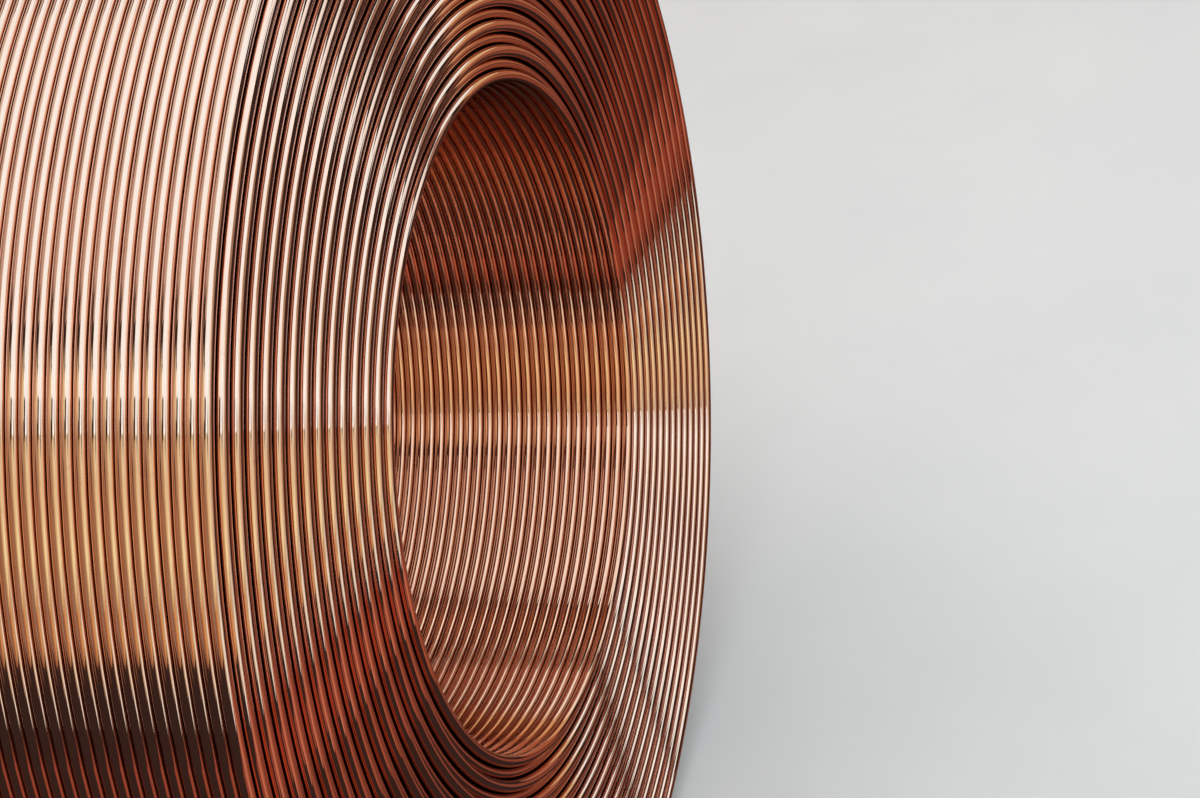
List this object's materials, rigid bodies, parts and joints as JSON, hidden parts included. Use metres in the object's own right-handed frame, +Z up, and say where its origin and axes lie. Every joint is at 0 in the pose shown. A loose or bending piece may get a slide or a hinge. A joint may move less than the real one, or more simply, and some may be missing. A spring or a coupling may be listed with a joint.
{
  "type": "copper tube coil",
  "caption": "Level-wound coil of bare round copper tube standing on its rim, with an open bore and layers that step in and out on both ends.",
  "frame": {"origin": "on the floor, under the middle of the coil, which stands on its rim", "axes": "+X along the coil's axis towards the end where the innermost layer is flush, +Z up"},
  "size_m": [0.335, 1.1308, 1.1306],
  "materials": {
    "tube_coil": "polished"
  },
  "bodies": {
    "root": {"tube_coil": "tube_coil"}
  },
  "joints": []
}
